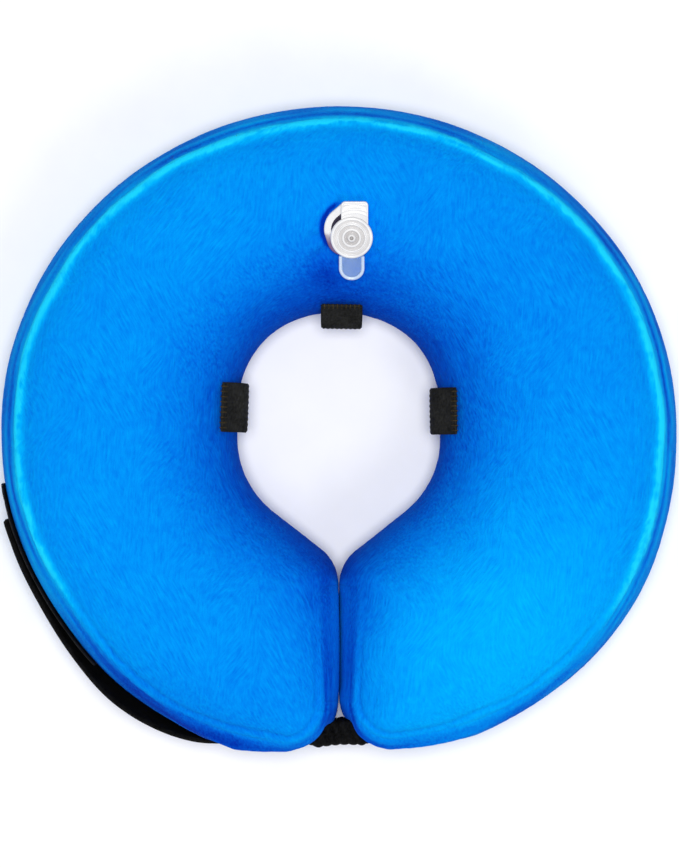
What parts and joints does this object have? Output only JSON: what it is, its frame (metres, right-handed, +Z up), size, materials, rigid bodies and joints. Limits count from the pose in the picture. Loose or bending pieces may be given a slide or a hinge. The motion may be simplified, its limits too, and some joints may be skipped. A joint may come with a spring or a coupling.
{
  "type": "inflatable recovery collar",
  "caption": "C-shaped inflatable plush cushion that closes around a small pet's neck with a strap, with a valve and webbing loops.",
  "frame": {"origin": "under the middle of the collar's box, on the surface that it lies on", "axes": "+Z up through the front face with the valve, +Y towards the valve's end of the ring, the opening of the C towards -Y"},
  "size_m": [0.2032, 0.1932, 0.0636],
  "materials": {
    "plush": "short blue plush pile",
    "film": "soft translucent plastic film",
    "webbing": "ribbed black webbing",
    "loop_pile": "black loop pile of a hook and loop fastener",
    "clear_plastic": "clear soft plastic"
  },
  "bodies": {
    "root": {"front_panel": "plush", "back_panel": "plush", "outer_band": "plush", "neck_band": "plush", "end_panel_left": "plush", "end_panel_right": "plush", "air_bladder": "film", "collar_loop_top": "webbing", "collar_loop_left": "webbing", "collar_loop_right": "webbing", "closure_strap": "webbing", "fastener_pad": "loop_pile", "valve_base": "clear_plastic", "valve_cap": "clear_plastic"}
  },
  "joints": []
}
